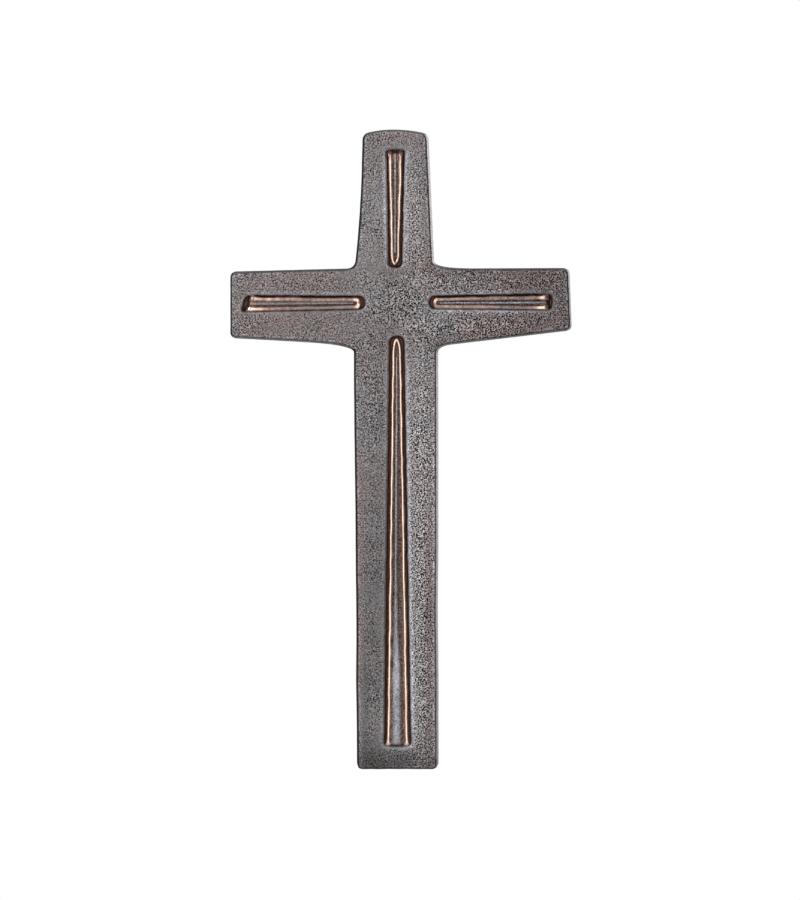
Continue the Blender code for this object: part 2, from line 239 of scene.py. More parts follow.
# Section of a recess and of the bar in it. HIDDEN is a drop so deep that it never shows.
RIM_RADIUS = 0.0012
RECESS_DRAFT = math.radians(14.0)
FLOOR_FILLET = 0.0004
BAR_DRAFT = math.radians(15.0)
DISH_WIDTH = 0.0060
ROLL_WIDTH = 0.0055
RIB_FILLET = 0.00012
HIDDEN = 1.0

# Outer ends of the ribs: how far before the end their dip starts, the length over which it reaches the dip's
# full depth, and how far their line runs on past the end
DIP_START = 0.0006
DIP_LENGTH = 0.0015
RUN_ON = 0.004

# Middle ridge: its level below the front, how far past the hairpin's turn it begins, and the grooves that it
# has where it is broad, as (offset, width, share of their depth)
RIDGE_DEPTH = 0.0005
RIDGE_SETBACK = 0.0016
GROOVE_DEPTH = 0.00022
GROOVES = ((-0.0004, 0.00022, 1.0), (0.0005, 0.0002, 0.7))

# Where the parts of the finish come in and fade out: as shares of a rib's radius its polish and the brown at
# its foot, by the drop the brown of the recess and the bare end of the bar, by the distance past the start
# of the ribs' dip the brown there, and by the distance from the recess's wall (inside negative) the painted
# highlight along the rim and the band that has less grain
POLISH_EDGE = (0.75, 1.2)
FOOT_BROWN = (0.8, 1.15)
HOLLOW_DROPS = (0.00105, 0.0020)
BARE_DROPS = (0.0014, 0.0022)
END_BROWN = (0.0006, 0.0014)
RIM_HIGHLIGHT_BAND = (-0.0007, 0.0009, 0.0010, 0.0028)
SMOOTH_BAND = (-0.0035, -0.0002, 0.0005, 0.0022)

# How dark the painted shade on the rings of the edge is at the left and the right, on how many rings the
# right's shade lies, and how brown the back is
DARK_LEFT = 0.82
DARK_RIGHT = 0.5
DARK_RINGS = 4
BACK_BROWN = 0.25

# How many quads the sheet has across each part of a relief's section, from its margin in to its middle
SECTION_QUADS = (4, 7, 3, 7, 5)
# Length of the sheet's quads along a limb, on plain stretches and where a relief begins or ends, and how far
# the finer ones reach before the ribs' dip and past the recess
PLAIN_STEP = 0.00068
FINE_STEP = 0.00030
FINE_LEAD = 0.0016
# Width of the quads beside a relief, and nearer to the edge
PLAIN_ACROSS = 0.00082
FINE_ACROSS = 0.00040
# Gaps between a relief's margin and the edge: width, and where the finer quads begin
UPRIGHT_GAP = (0.0125, 0.0075)
ARM_LOW_GAP = (0.0115, 0.0068)
ARM_HIGH_GAP = (0.0100, 0.0060)

# Measured framing of the view: what the picture's height and centre are, on the plane of the cross
FRAME_HEIGHT = 0.4204
FRAME_CENTRE = (0.0022, -0.06687)
SENSOR = 36.0

# Half width and half depth of the floor, and each softbox with its place, its side and its power's setting
FLOOR_HALVES = (1.0, 0.9)
SOFTBOXES = [
    ("key softbox", (-1.3, -1.2, 0.7), 0.9, "key_power"),
    ("front softbox", (0.1, -2.6, 0.1), 1.8, "front_power"),
    ("back softbox", (1.2, 1.6, 0.5), 1.0, "back_power"),
]


def linear(code, alpha=1.0):
    """Linear colour of an sRGB hex code: each channel by the sRGB curve, straight below 0.04045."""
    channels = np.array([int(code[start:start + 2], 16) for start in (1, 3, 5)]) / 255
    curve = np.where(channels > 0.04045, ((channels + 0.055) / 1.055) ** 2.4, channels / 12.92)
    return (*curve.tolist(), alpha)


def mix(pair, share):
    """The value that lies the given share of the way from the pair's first to its second."""
    return pair[0] + (pair[1] - pair[0]) * share


def ease(value, low, high):
    """A smooth step: 3t^2 - 2t^3, where t runs from 0 at low to 1 at high and is held beyond."""
    share = np.clip((value - low) / (high - low), 0, 1)
    return share * share * (3 - 2 * share)


def smooth_noise(points, cell, seed):
    """Noise from -1 to 1: random numbers on a lattice of cells, with a smooth step between neighbours."""
    scaled = np.asarray(points) / cell
    base = np.floor(scaled).astype(np.int64)
    share = scaled - base
    share = share * share * (3 - 2 * share)
    table = np.random.default_rng(seed).uniform(-1, 1, 8192)
    strides = np.array([73856093, 19349663, 83492791])[:scaled.shape[-1]]
    total = np.zeros(scaled.shape[:-1])
    for corner in itertools.product((0, 1), repeat=scaled.shape[-1]):
        weight = np.prod(np.where(corner, share, 1 - share), axis=-1)
        total += weight * table[((base + corner) * strides).sum(-1) % len(table)]
    return total


def blended(corners):
    """A closed outline round corners (x, z, reach before, reach after), each cut off by a parabola.

    A parabola's point is (1-t)^2 start + 2t(1-t) corner + t^2 end, for all corners at once.
    """
    table = np.array(corners)
    places, reaches = table[:, :2], table[:, 2:]
    starts = np.roll(places, 1, axis=0) - places
    ends = np.roll(places, -1, axis=0) - places
    starts = places + starts * (reaches[:, :1] / np.linalg.norm(starts, axis=1, keepdims=True))
    ends = places + ends * (reaches[:, 1:] / np.linalg.norm(ends, axis=1, keepdims=True))
    share = np.linspace(0, 1, BLEND_STEPS)[None, :, None]
    curves = (1 - share) ** 2 * starts[:, None] + 2 * share * (1 - share) * places[:, None]
    return (curves + share ** 2 * ends[:, None]).reshape(-1, 2)


def evenly(loop, step):
    """A closed loop's points at even distances of about this step along it."""
    closed = np.vstack([loop, loop[:1]])
    lengths = np.concatenate([[0], np.cumsum(np.linalg.norm(np.diff(closed, axis=0), axis=1))])
    wanted = np.linspace(0, lengths[-1], int(lengths[-1] / step), endpoint=False)
    return np.column_stack([np.interp(wanted, lengths, closed[:, axis]) for axis in (0, 1)])


def inward_normals(loop):
    """Unit normals to the right of a clockwise loop's way, from the chords between the neighbours."""
    chords = np.roll(loop, -1, axis=0) - np.roll(loop, 1, axis=0)
    chords /= np.linalg.norm(chords, axis=1, keepdims=True)
    return np.column_stack([chords[:, 1], -chords[:, 0]])


def wall_inset(thickness, edge_radius):
    """How far the drafted side leans in between the land at the back and the front edge."""
    return (thickness - BACK_LAND - edge_radius) * math.tan(SIDE_DRAFT)


def cross_loop(sizes):
    """The cross's outline, from the middle of its top clockwise, with its inward normals.

    The corners' parabolas are drawn first. Then each point moves out by the swells, which are bell curves of
    the distance to their places, and in by a little noise, so that no point leaves the solid's box.
    """
    tip = FRONT_CORNER + math.sqrt(2) * (sizes.edge_radius + wall_inset(sizes.thickness, sizes.edge_radius))
    halves = (CROWN_OFFSET - TOP_LEFT_TIP[0], TOP_RIGHT_TIP[0] - CROWN_OFFSET)
    shares = [1 - tip / half for half in halves]
    peak = SHOULDER + CROWN_DROP / (1 - sum(shares) / 4)
    crown = [share * math.hypot(half, peak - SHOULDER) for share, half in zip(shares, halves)]
    corners = [(CROWN_OFFSET, peak, *crown), TOP_RIGHT_TIP, *OTHER_CORNERS, TOP_LEFT_TIP]
    drawn = blended([[tip if value is TIP else value for value in corner] for corner in corners])
    loop = evenly(np.roll(drawn, -BLEND_STEPS // 2, axis=0), OUTLINE_STEP)
    normals = inward_normals(loop)
    shift = sizes.edge_wander * (1 + smooth_noise(loop, 0.004, 3)) / 2
    for place, height, run in SWELLS:
        shift -= height * np.exp(-((loop - place) ** 2).sum(axis=1) / (2 * run ** 2))
    loop = loop + normals * shift[:, None]
    return loop, inward_normals(loop)


def distance_to(path, points):
    """Distance of each point to a polyline: the least of its distances to the sides."""
    starts, sides = path[:-1], np.diff(path, axis=0)
    away = points[:, None, :] - starts[None]
    share = np.clip((away * sides).sum(-1) / (sides ** 2).sum(-1), 0, 1)
    return np.sqrt(((away - share[..., None] * sides) ** 2).sum(-1).min(axis=1))


def lies_inside(path, points):
    """True for points inside a closed polyline: a ray from the point crosses it an odd number of times."""
    starts, ends = path[:-1], path[1:]
    across = points[:, None, 1]
    crosses = (starts[:, 1] > across) != (ends[:, 1] > across)
    rise = np.where(ends[:, 1] == starts[:, 1], 1, ends[:, 1] - starts[:, 1])
    where = starts[:, 0] + (across - starts[:, 1]) * (ends[:, 0] - starts[:, 0]) / rise
    return (crosses & (points[:, None, 0] < where)).sum(axis=1) % 2 == 1


def slot_path(relief):
    """The mouth of a limb's recess as a closed path of (distance out, offset from the middle line).

    It lies outside the ribs and their ends by the relief's margins, and its corners are rounded.
    """
    alongs = (relief["start"] - relief["end_margins"][0], relief["end"] + relief["end_margins"][1])
    corners = []
    for side, end in ((0, 0), (0, 1), (1, 1), (1, 0)):
        half_width = relief["spread"][end] + relief["side_margins"][side]
        reaches = (half_width * ROUND_SHARES[end], relief["end_round"][end])
        ordered = reaches if side == end else reaches[::-1]
        corners.append((alongs[end], half_width * (1 - 2 * side), *ordered))
    path = evenly(blended(corners), 0.0004)
    return np.vstack([path, path[:1]])


def hairpin_path(relief):
    """The ribs' line as (distance out, offset): along the left rib, round half an ellipse, and back."""
    start, end, turn = relief["start"], relief["end"], relief["turn"]
    angles = np.linspace(0, math.pi, 41)
    alongs = np.concatenate([[end + RUN_ON], start + turn * (1 - np.sin(angles)), [end + RUN_ON]])
    bent = np.sign(np.cos(angles)) * np.abs(np.cos(angles)) ** (2 * relief["arch"])
    sides = np.concatenate([[1], bent, [-1]])
    shares = (alongs - start) / (end - start)
    return np.column_stack([alongs, sides * mix(relief["spread"], shares)])


def on_limb(relief, points):
    """Turns plan points into distances out along a limb and offsets to the left of its middle line."""
    out = np.array(relief["direction"])
    left = np.array([-out[1], out[0]])
    along = points @ out
    share = (along - relief["start"]) / (relief["end"] - relief["start"])
    return along, points @ left - mix(relief["middle"], share), share


def recess_profile(depth, dish_depth):
    """Drop of the surface by distance from the middle of a recess's wall, inside negative.

    From outside: a shallow dish that steepens as a parabola, a rim rounded as a quarter circle, a drafted
    wall and a small fillet onto the floor.
    """
    lean = math.tan(RECESS_DRAFT)
    wall = depth - dish_depth - RIM_RADIUS - FLOOR_FILLET
    turn = np.linspace(0, math.pi / 2, 12)
    rim_out = RIM_RADIUS * (1 - np.sin(turn)) + wall * lean / 2
    rim_drop = dish_depth + RIM_RADIUS * (1 - np.cos(turn))
    fillet_out = -wall * lean / 2 - FLOOR_FILLET * (1 - np.cos(turn))
    fillet_drop = dish_depth + RIM_RADIUS + wall + FLOOR_FILLET * np.sin(turn)
    dish = np.linspace(1, 0, 9)[:-1]
    dish_out = RIM_RADIUS + wall * lean / 2 + DISH_WIDTH * dish
    dish_drop = dish_depth * (1 - dish) ** 2
    out = np.concatenate([dish_out, rim_out, fillet_out])
    drop = np.concatenate([dish_drop, rim_drop, fillet_drop])
    return out[::-1], drop[::-1]


def soft_least(first, second, softness):
    """The smaller of two fields, rounded over where they are nearly the same."""
    gap = np.clip(1 - np.abs(first - second) / softness, 0, 1)
    return np.minimum(first, second) - gap * gap * softness / 4


def side_values(rows, share, on_left):
    """A quality listed as (share of the length, left, right), read at each point by its share and side."""
    table = np.array(rows)
    left, right = (np.interp(share, table[:, 0], table[:, column]) for column in (1, 2))
    return np.where(on_left, left, right)


def band(value, start, full, fade, end):
    """Rises smoothly from 0 at start to 1 at full, and falls from 1 at fade to 0 at end."""
    return ease(value, start, full) * (1 - ease(value, fade, end))


def recess_fields(relief, points, local, seed, sizes):
    """Whether points lie in a recess, their distance to its wall (inside negative), and the drop there.

    The drop is the recess's profile over the distance, which noise makes a little ragged.
    """
    mouth = slot_path(relief)
    distance = distance_to(mouth, local)
    inside = lies_inside(mouth, local)
    distance = np.where(inside, -distance, distance)
    out, drop = recess_profile(sizes.recess_depth, sizes.dish_depth)
    ragged = 0.00012 * smooth_noise(points, 0.0028, seed + 6)
    ragged += 0.00008 * smooth_noise(points, 0.0011, seed + 7)
    return inside, distance, np.interp(distance + ragged, out, drop)


def rib_places(relief, lane, across, share, seed, wander):
    """Each point's distance to the ribs' line, the rib's radius there, and whether it is between the ribs.

    The line wanders by noise along each rib's own lane, and fades in past the hairpin. The radius swells in
    the same way, and widens at the outer end.
    """
    along = lane[:, 0]
    wander = wander * (smooth_noise(lane, 0.006, seed) + 0.5 * smooth_noise(lane, 0.0022, seed + 1))
    swell = 1 + 0.12 * smooth_noise(lane, 0.0045, seed + 2) + 0.07 * smooth_noise(lane, 0.0015, seed + 3)
    swell += 0.35 * ease(along, relief["end"] - 0.0025, relief["end"])
    path = hairpin_path(relief)
    shifted = np.column_stack([along, across + wander * ease(share, 0.01, 0.06)])
    between = lies_inside(np.vstack([path, path[:1]]), shifted)
    return distance_to(path, shifted), mix(relief["rib"], np.clip(share, 0, 1)) * swell, between


def ridge_fields(relief, along, across, share, dip, seed):
    """Drop of the bar's middle ridge, and as shares from 0 to 1 how near its line and how broad it is.

    Its section falls off as the sixth power of the share of its half width, and it rises as a straight ramp
    where it begins. A broad ridge has two grooves, which are bell curves across it.
    """
    knots = np.array(relief["ridge"])
    lane = along[:, None]
    half = np.interp(share, knots[:, 0], knots[:, 2]) * (1 + 0.08 * smooth_noise(lane, 0.003, seed + 4))
    offset = across - np.interp(share, knots[:, 0], knots[:, 1])
    reach = np.abs(offset) / half
    before = relief["start"] + relief["turn"] + RIDGE_SETBACK - along
    drop = RIDGE_DEPTH + 0.0006 * np.clip(reach, 0, 2) ** 6 + 1.2 * np.maximum(before, 0) + dip
    broad = ease(half, 0.0008, 0.0015)
    groove = sum(depth * np.exp(-((offset - place) / width) ** 2) for place, width, depth in GROOVES)
    drop += GROOVE_DEPTH * groove * broad * (0.6 + 0.4 * smooth_noise(lane, 0.0025, seed + 8))
    near = (1 - ease(reach, 0.7, 1.25)) * (1 - ease(before, 0, 0.001))
    return np.where(reach < 1.6, drop, HIDDEN), near, broad


def relief_fields(relief, points, seed, sizes):
    """Drop below the front, polish, hollow, rubbed ridge with the painted highlight along the rim, and
    smoothness of one limb's relief at plan points.

    The bar is flat between its ribs and falls off outside them by its draft. A rib is a superellipse over
    the distance to its line, and dips at its end as a square. The highest of recess, bar, ridge and rib
    shows.
    """
    along, across, share = on_limb(relief, points)
    held = np.clip(share, 0, 1)
    along = along - relief["slant"] * across * ease(share, 0.8, 1.0)
    local = np.column_stack([along, across])
    inside, wall_distance, drop = recess_fields(relief, points, local, seed, sizes)
    on_left = across > 0
    lane = np.column_stack([along, np.where(on_left, 0.1, -0.1)])
    rib_distance, radius, between = rib_places(relief, lane, across, share, seed, sizes.rib_wander)
    past_end = np.maximum(along - relief["end"] + DIP_START, 0)
    dip = sizes.rib_dip * (past_end / DIP_LENGTH) ** 2
    reach = np.clip(rib_distance / radius, 0, 1.3)
    flat = relief["flat"]
    crown = radius * (1 - (1 - np.clip(reach, 0, 1) ** flat) ** (1 / flat)) * 1.15
    rib = np.where(rib_distance < radius, -sizes.rib_proud + dip + crown, HIDDEN)
    flank = np.maximum(rib_distance - 0.8 * radius, 0) / math.tan(BAR_DRAFT) + sizes.bar_depth
    bar = np.where(between, sizes.bar_depth, flank) + dip
    ridge, near_ridge, broad = ridge_fields(relief, along, across, held, dip, seed)
    bar = soft_least(bar, ridge, RIB_FILLET)
    raised = np.where(inside, soft_least(bar, rib, RIB_FILLET), HIDDEN)
    surface = soft_least(drop, raised, RIB_FILLET)

    # Polish of the ribs, patchy where it is half rubbed away, and the bare slope at the bar's end
    on_rib = inside * (rib_distance < 1.25 * radius) * (past_end < 0.002)
    on_ridge = inside * between * near_ridge
    shine = side_values(relief["shine"], held, on_left)
    patchy = (1 - np.abs(2 * shine - 1)) * 0.30 + 0.05
    patches = smooth_noise(lane, 0.0012, seed + 5) + 0.6 * smooth_noise(lane, 0.0035, seed + 9)
    shine = shine + patchy * patches
    shine = np.clip(shine, 0, 1) * (1 - ease(reach, *POLISH_EDGE)) * on_rib
    slope = ease(along, relief["end"] - 0.0035, relief["end"] - 0.0005) * (between | (reach < 1))
    bare = relief["tan"] * slope * inside * (past_end < 0.0009)
    polish = np.maximum(shine, bare * (1 - ease(surface, *BARE_DROPS)))

    # Brown of the recess, of the bar beside its ridge, past the ribs' end and at their foot
    hollow = ease(surface, *HOLLOW_DROPS) * (1 - on_ridge)
    hollow = np.maximum(hollow, relief["gap"] * inside * between * (1 - on_ridge))
    hollow = np.maximum(hollow, 0.9 * inside * ease(past_end, *END_BROWN))
    hollow = np.where(on_rib > 0, ease(reach, *FOOT_BROWN) * np.maximum(hollow, 0.5), hollow)
    hollow = np.clip(hollow - 0.6 * (bare > 0.05), 0, 1)

    # Painted highlight along the recess's rim and past its outer end, rubbed ridge with streaks along it,
    # and the surface that has less grain
    outer_wall = relief["end"] + relief["end_margins"][1]
    rim = side_values(relief["rim"], held, on_left)
    rim = mix((rim, relief["lip"]), ease(along, outer_wall - 0.0010, outer_wall))
    rim_highlight = band(wall_distance, *RIM_HIGHLIGHT_BAND) * (1 + 0.3 * smooth_noise(points, 0.0025, seed + 8))
    streaks = smooth_noise(np.column_stack([along / 16, across]), 0.0005, seed + 3)
    rubbed = on_ridge * relief["rub"] * (1 + 0.3 * broad) * (1 + 0.5 * streaks)
    worn = np.maximum(rim_highlight * rim, rubbed)
    smooth = np.maximum(0.75 * on_ridge, band(wall_distance, *SMOOTH_BAND))
    return surface, polish, hollow, worn, smooth * (1 - 0.2 * on_rib)


def front_fields(points, sizes):
    """The reliefs' five fields over the whole front: their sum, as the reliefs lie apart."""
    fields = np.zeros((5, len(points)))
    for seed, relief in enumerate(RELIEFS.values()):
        along, across, _ = on_limb(relief, points)
        reach = RIM_RADIUS + DISH_WIDTH + 0.0035
        widest = max(relief["spread"]) + max(relief["side_margins"]) + reach
        near = (np.abs(across) < widest) & (along > relief["start"] - reach)
        near &= along < relief["end"] + reach
        fields[:, near] += relief_fields(relief, points[near], 10 * seed, sizes)
    return fields


def tones_and_shade(points):
    """How light, brown and coarse the surface is: the listed bell-shaped spots, which carry painted shade
    and light as well as the patina's tone, and slow noise of the patina.
    """
    light = 1 + 0.05 * smooth_noise(points, 0.016, 60) + 0.05 * smooth_noise(points, 0.005, 61)
    brown = 0.10 + 0.22 * smooth_noise(points, 0.020, 62) + 0.18 * smooth_noise(points, 0.007, 63)
    grain = 0.74 + 0.20 * smooth_noise(points, 0.009, 64) + 0.24 * smooth_noise(points, 0.0035, 65)
    for place, run, darker, browner, coarser in TONE_AND_SHADE_SPOTS:
        spot = np.exp(-(((points - place) / run) ** 2).sum(axis=-1))
        light -= darker * spot
        brown += browner * spot
        grain += coarser * spot
    return light, np.clip(brown, 0, 1), np.clip(grain, 0.1, 1.5)


def section_knots(relief, along):
    """Offsets from the limb's axis of a relief's margins, rims, wall feet, ribs and middle, in order."""
    share = np.clip((along - relief["start"]) / (relief["end"] - relief["start"]), 0, 1)
    middle = mix(relief["middle"], share)
    spread, rib = mix(relief["spread"], share), mix(relief["rib"], share)
    halves = []
    for margin in relief["side_margins"]:
        rim = margin + RIM_RADIUS
        outsets = (rim + DISH_WIDTH, rim + 0.0002, margin - 0.0003, rib, -rib)
        halves.append([spread + outset for outset in outsets])
    left = [middle + offset for offset in halves[0]]
    right = [middle - offset for offset in halves[1][::-1]]
    return np.stack([*left, middle, *right], axis=-1)


def graded(low, high, coarse, fine, spots):
    """Places from low to high, about coarse apart, and fine apart within the spots (from, to)."""
    dense = np.linspace(low, high, 4000)
    density = np.full(len(dense), 1 / coarse)
    for start, end in spots:
        near = ease(dense, start - 0.002, start) * (1 - ease(dense, end, end + 0.002))
        density += near * (1 / fine - 1 / coarse)
    total = np.concatenate([[0], np.cumsum((density[1:] + density[:-1]) / 2 * np.diff(dense))])
    return np.interp(np.linspace(0, total[-1], max(int(round(total[-1])), 2) + 1), total, dense)


def strip_shares(low_gap, high_gap):
    """Where each line of a strip lies among its knots: shares of the outer gaps, and even parts between."""
    low, high = (
        graded(0, width, PLAIN_ACROSS, FINE_ACROSS, [(fine_from, width)]) / width
        for width, fine_from in (low_gap, high_gap)
    )
    inner = [*SECTION_QUADS, *SECTION_QUADS[::-1]]
    parts = [index + 1 + np.arange(1, count + 1) / count for index, count in enumerate(inner)]
    return np.concatenate([1 - low[::-1], *parts, len(inner) + 1 + high[1:]])


def along_knots(knots, places):
    """The value at each place (n,) among the knots of its own column (..., n, k), straight between them."""
    base = np.clip(np.floor(places).astype(int), 0, knots.shape[-1] - 2)
    share = places - base
    columns = np.arange(len(places))
    return knots[..., columns, base] * (1 - share) + knots[..., columns, base + 1] * share


def meet(rows_from, rows_to, columns_from, columns_to):
    """Where each straight row (from, to) crosses each straight column (from, to), as a grid of points."""
    row_way = (rows_to - rows_from)[:, None]
    column_way = (columns_to - columns_from)[None]
    gap = columns_from[None] - rows_from[:, None]
    cross = row_way[..., 0] * column_way[..., 1] - row_way[..., 1] * column_way[..., 0]
    share = (gap[..., 0] * column_way[..., 1] - gap[..., 1] * column_way[..., 0]) / cross
    return rows_from[:, None] + row_way * share[..., None]


def edge_distance(outline, points):
    """Distance of each front point from the start of the rounded edge, read from the coarse outline."""
    coarse = outline.front[::8]
    path = np.vstack([coarse, coarse[:1]])
    distances = np.full(len(points), ROLL_WIDTH)
    for start in range(0, len(path) - 1, 60):
        piece = path[start:start + 61]
        low, high = piece.min(axis=0) - ROLL_WIDTH, piece.max(axis=0) + ROLL_WIDTH
        near = ((points > low) & (points < high)).all(axis=1)
        distances[near] = np.minimum(distances[near], distance_to(piece, points[near]))
    return distances


class Outline:
    """The cross's outline cut at its twelve corners, read by x on level sides and by z on upright ones."""

    def __init__(self, sizes):
        self.loop, self.normals = cross_loop(sizes)
        self.inset = sizes.edge_radius + wall_inset(sizes.thickness, sizes.edge_radius)
        self.front = self.loop + self.normals * self.inset
        level = np.abs(self.normals[:, 1]) > np.abs(self.normals[:, 0])
        self.corners = np.nonzero(level != np.roll(level, 1))[0]
        if len(self.corners) != CORNERS:
            raise RuntimeError(f"the outline has {len(self.corners)} corners, and a cross has {CORNERS}")

    def corner(self, number):
        """The front's point at a corner, numbered clockwise from the top's right."""
        return self.front[self.corners[number]]

    def indexes(self, number, values):
        """Fractional places on the loop where the side after a corner has these x or z values."""
        first, last = self.corners[number], self.corners[(number + 1) % CORNERS]
        side = np.arange(first, last + 1 if last > first else last + 1 + len(self.loop))
        points = self.front[side % len(self.loop)]
        axis = int(abs(points[-1, 0] - points[0, 0]) < abs(points[-1, 1] - points[0, 1]))
        order = np.argsort(points[:, axis], kind="stable")
        return np.interp(values, points[order, axis], side[order])

    def at(self, indexes, inset):
        """Plan points at these places of the loop, moved in by the inset."""
        size = len(self.loop)
        stations = np.arange(size + 1)
        wrapped = np.mod(indexes, size)
        closed = [np.vstack([table, table[:1]]) for table in (self.loop, self.normals)]
        place, way = (
            np.stack([np.interp(wrapped, stations, table[:, axis]) for axis in (0, 1)], axis=-1)
            for table in closed
        )
        way /= np.linalg.norm(way, axis=-1, keepdims=True)
        return place + way * np.asarray(inset)[..., None]


def limb_sheet(outline, limb, root, places):
    """The grid of one limb, from its root line out to its tip: rows across the limb, columns along it.

    A row's height is the share of the way from root to tip, column by column. Across, a column keeps its
    place among the knots: the two edges and the relief's lines. Returns points and the edges' loop indexes.
    """
    relief, axis, sign = RELIEFS[limb["name"]], limb["axis"], limb["sign"]
    low_side, tip_side, high_side = limb["sides"]
    other = 1 - axis
    tips = [outline.corner(number) for number in limb["tips"]]
    tip_along = (tips[0][axis] + tips[1][axis]) / 2

    def across_at(along):
        low = outline.at(outline.indexes(low_side, along), outline.inset)[..., other]
        high = outline.at(outline.indexes(high_side, along), outline.inset)[..., other]
        offsets = section_knots(relief, sign * along) * limb["left"]
        knots = np.concatenate([low[..., None], np.sort(offsets, axis=-1), high[..., None]], axis=-1)
        return along_knots(knots, places)

    tip_across = across_at(np.full(len(places), tip_along))
    span = (tip_across - tip_across[0]) / (tip_across[-1] - tip_across[0])
    tip_across = tips[0][other] + span * (tips[1][other] - tips[0][other])
    tip_index = outline.indexes(tip_side, tip_across)
    tip = outline.at(tip_index, outline.inset)
    length = abs(tip_along - root[:, axis].mean())
    start = abs(root[:, axis].mean())
    relief_end = relief["end"] + relief["end_margins"][1]
    spots = [
        (0, relief["start"] + relief["turn"] + 0.001 - start),
        (relief["end"] - FINE_LEAD - DIP_START - start, relief_end + FINE_LEAD - start),
    ]
    shares = graded(0, length, PLAIN_STEP, FINE_STEP, spots) / length
    along = root[None, :, axis] + (tip[None, :, axis] - root[None, :, axis]) * shares[:, None]
    points = np.empty((*along.shape, 2))
    points[..., axis] = along
    points[..., other] = across_at(along)
    low_index = outline.indexes(low_side, along[:, 0])
    high_index = outline.indexes(high_side, along[:, -1])
    points[0] = root
    points[:, 0] = outline.at(low_index, outline.inset)
    points[:, -1] = outline.at(high_index, outline.inset)
    points[-1] = tip
    return points, low_index, tip_index, high_index


def root_line(outline, limb, places):
    """The points between two inner corners where a limb's columns begin, at their places among the knots."""
    relief, axis, sign = RELIEFS[limb["name"]], limb["axis"], limb["sign"]
    low, high = (outline.corner(number) for number in limb["roots"])
    other = 1 - axis
    offsets = np.sort(section_knots(relief, sign * np.array((low[axis] + high[axis]) / 2)) * limb["left"])
    knots = np.concatenate([[low[other]], offsets, [high[other]]])
    across = along_knots(np.tile(knots, (len(places), 1)), places)
    share = (across - low[other]) / (high[other] - low[other])
    return low + (high - low) * share[:, None]


# Limbs as the sheet sees them. The axis is 0 along x and 1 along z, and left is the sign of "to the left" on
# the other axis. Corners, and sides after them, are numbered clockwise from the top's right tip.
LIMBS = [
    {"name": "top", "axis": 1, "sign": 1, "left": -1,
     "roots": (10, 1), "tips": (11, 0), "sides": (10, 11, 0)},
    {"name": "right", "axis": 0, "sign": 1, "left": 1,
     "roots": (4, 1), "tips": (3, 2), "sides": (3, 2, 1)},
    {"name": "shaft", "axis": 1, "sign": -1, "left": 1,
     "roots": (7, 4), "tips": (6, 5), "sides": (6, 5, 4)},
    {"name": "left", "axis": 0, "sign": -1, "left": -1,
     "roots": (7, 10), "tips": (8, 9), "sides": (7, 8, 9)},
]


def front_sheet(outline):
    """The front's quads and the loop of its edge: points (n, 2), quads (m, 4) and the edge as two lists."""
    upright_places = strip_shares(UPRIGHT_GAP, UPRIGHT_GAP)
    arm_places = strip_shares(ARM_LOW_GAP, ARM_HIGH_GAP)
    places = {"top": upright_places, "shaft": upright_places, "left": arm_places, "right": arm_places}
    roots = {limb["name"]: root_line(outline, limb, places[limb["name"]]) for limb in LIMBS}
    crossing = meet(roots["left"], roots["right"], roots["shaft"], roots["top"])
    crossing[0], crossing[-1] = roots["shaft"], roots["top"]
    crossing[:, 0], crossing[:, -1] = roots["left"], roots["right"]
    points, quads = [crossing.reshape(-1, 2)], []
    ids = np.arange(crossing.shape[0] * crossing.shape[1]).reshape(crossing.shape[:2])
    quads.append(grid_quads(ids))
    count = ids.size
    shared = {"top": ids[-1], "shaft": ids[0], "left": ids[:, 0], "right": ids[:, -1]}
    edges = {}
    for limb in LIMBS:
        name = limb["name"]
        sheet, low_index, tip_index, high_index = limb_sheet(outline, limb, roots[name], places[name])
        fresh = count + np.arange(sheet[1:].shape[0] * sheet.shape[1]).reshape(-1, sheet.shape[1])
        count += fresh.size
        points.append(sheet[1:].reshape(-1, 2))
        limb_ids = np.vstack([shared[name], fresh])
        grid = limb_ids if name in ("top", "left") else limb_ids[:, ::-1]
        quads.append(grid_quads(grid))
        edges[name] = (limb_ids, low_index, tip_index, high_index)
    loop_ids, loop_index = [], []
    for name, clockwise in (("top", True), ("right", False), ("shaft", False), ("left", True)):
        limb_ids, low_index, tip_index, high_index = edges[name]
        low = (limb_ids[:, 0], low_index)
        tip = (limb_ids[-1], tip_index)
        high = (limb_ids[:, -1], high_index)
        if clockwise:
            order = [(low, 1), (tip, 1), (high, -1)]
        else:
            order = [(high, 1), (tip, -1), (low, -1)]
        for (vertices, indexes), way in order:
            loop_ids.append(vertices[::way][:-1])
            loop_index.append(indexes[::way][:-1])
    return np.vstack(points), np.vstack(quads), np.concatenate(loop_ids), np.concatenate(loop_index)


def grid_quads(ids):
    """The quads of a grid of vertex numbers, wound from row to row and then from column to column."""
    return np.stack([ids[:-1, :-1], ids[:-1, 1:], ids[1:, 1:], ids[1:, :-1]], axis=-1).reshape(-1, 4)


def side_section(sizes):
    """Rings (inset, level) from just past the front down the rounded edge and drafted side to the back."""
    radius = sizes.edge_radius
    inset = radius + wall_inset(sizes.thickness, radius)
    turn = np.linspace(0, math.pi / 2 - SIDE_DRAFT, 6)[1:]
    levels = sizes.thickness - radius * (1 - np.cos(turn))
    rounding = np.column_stack([inset - radius * np.sin(turn), levels])
    low = np.array([0.0, BACK_LAND])
    shares = np.linspace(0, 1, 6)[1:, None]
    wall = rounding[-1] + (low - rounding[-1]) * shares
    back = np.array([[0.0, BACK_CORNER], [BACK_CORNER, 0.0]])
    return np.vstack([rounding, wall, back])


